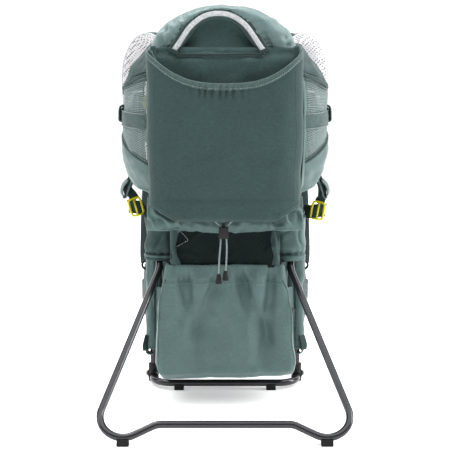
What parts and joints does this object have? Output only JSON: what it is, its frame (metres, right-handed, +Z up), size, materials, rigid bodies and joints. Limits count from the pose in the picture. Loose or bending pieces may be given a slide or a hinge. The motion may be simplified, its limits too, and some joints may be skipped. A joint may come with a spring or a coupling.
{
  "type": "child carrier backpack",
  "caption": "Framed backpack for carrying a child, with a fold-out kickstand, open seat cabin with mesh windows, padded straps and hip belt.",
  "frame": {"origin": "middle of the footprint box, on the floor", "axes": "+Z up; +Y towards the wearer's side; +X to the right seen from the stand's side"},
  "size_m": [0.4344, 0.5449, 0.72],
  "materials": {
    "frame_tube": "dark grey anodised, satin",
    "black_plastic": "moulded black, fine texture",
    "steel": "brushed",
    "rubber_foot": "matt black",
    "satin_fabric": "satin-faced polyester, grey-green",
    "dark_fabric": "plain-woven polyester, dark grey-green",
    "binding_tape": "woven binding tape",
    "light_tape": "light grey grosgrain",
    "dark_mesh": "spacer mesh, very dark green",
    "window_mesh": "open net, grey-green",
    "pad_mesh": "light grey perforated spacer mesh",
    "webbing": "flat woven webbing, dark green",
    "yellow_plastic": "gloss yellow",
    "zip_metal": "painted grey",
    "zip_tape": "woven zip tape",
    "cord_braid": "braided elastic cord, pale green"
  },
  "bodies": {
    "frame": {"main_frame": "frame_tube", "base_loop": "frame_tube", "corner_joint_left": "black_plastic", "corner_joint_right": "black_plastic", "corner_bolts": "steel", "loop_foot_left": "rubber_foot", "loop_foot_right": "rubber_foot", "crossbars": "frame_tube", "pivot_bracket_left": "black_plastic", "pivot_bracket_right": "black_plastic", "pivot_pins": "steel", "lower_bag": "satin_fabric", "zip_track": "zip_tape", "mesh_panel": "dark_mesh", "band_panel": "satin_fabric", "leg_sleeve_left": "satin_fabric", "leg_sleeve_right": "satin_fabric", "rear_pocket": "dark_fabric", "pocket_binding": "binding_tape", "rear_panel": "dark_fabric", "headrest": "satin_fabric", "arch_tape": "light_tape", "side_wing_left": "satin_fabric", "side_wing_right": "satin_fabric", "side_window_left": "window_mesh", "side_window_right": "window_mesh", "side_shoulder_left": "dark_fabric", "side_shoulder_right": "dark_fabric", "window_bands": "webbing", "front_panel": "dark_fabric", "front_pad": "dark_fabric", "child_harness": "webbing", "harness_buckle": "black_plastic", "side_straps": "webbing", "side_buckle_left": "yellow_plastic", "side_buckle_right": "yellow_plastic", "side_strap_locks": "black_plastic", "back_panel": "dark_mesh", "lumbar_pad": "dark_mesh", "hip_wing_left": "dark_fabric", "hip_wing_right": "dark_fabric", "hip_webbing": "webbing", "hip_buckle": "black_plastic", "cord_left": "cord_braid", "cord_right": "cord_braid", "cord_lock": "black_plastic", "cord_details": "black_plastic"},
    "kickstand": {"kickstand": "frame_tube", "stand_foot_left": "rubber_foot", "stand_foot_right": "rubber_foot"},
    "zip_slider": {"zip_slider": "zip_metal"},
    "zip_pull": {"zip_pull": "zip_metal"},
    "child_seat": {"child_seat": "dark_fabric"},
    "harness": {"shoulder_yoke": "dark_fabric", "shoulder_strap_left": "pad_mesh", "shoulder_strap_right": "pad_mesh", "strap_webbing": "webbing"},
    "chest_strap": {"chest_strap": "webbing", "chest_buckle": "black_plastic"},
    "cord_button": {"cord_button": "black_plastic"}
  },
  "joints": [
    {"name": "kickstand_fold", "type": "hinge", "parent": "frame", "child": "kickstand", "pos_m": [0, 0.07, 0.335], "axis": [1, 0, 0], "range_deg": [0, 38]},
    {"name": "zip_slide", "type": "slide", "parent": "frame", "child": "zip_slider", "axis": [0.076, 0, -0.9971], "range_m": [0, 0.082]},
    {"name": "zip_pull_swing", "type": "hinge", "parent": "zip_slider", "child": "zip_pull", "pos_m": [0.12502, -0.03, 0.17455], "axis": [0, -1, 0], "range_deg": [0, 150]},
    {"name": "seat_height", "type": "slide", "parent": "frame", "child": "child_seat", "axis": [0, 0, 1], "range_m": [0, 0.03]},
    {"name": "back_length", "type": "slide", "parent": "frame", "child": "harness", "axis": [0, 0, 1], "range_m": [0, 0.05]},
    {"name": "chest_strap_height", "type": "slide", "parent": "harness", "child": "chest_strap", "axis": [0, 0, 1], "range_m": [-0.03, 0.03]},
    {"name": "cord_button_press", "type": "slide", "parent": "frame", "child": "cord_button", "axis": [0, 0, 1], "range_m": [-0.003, 0], "stiffness_N_per_m": 600}
  ]
}
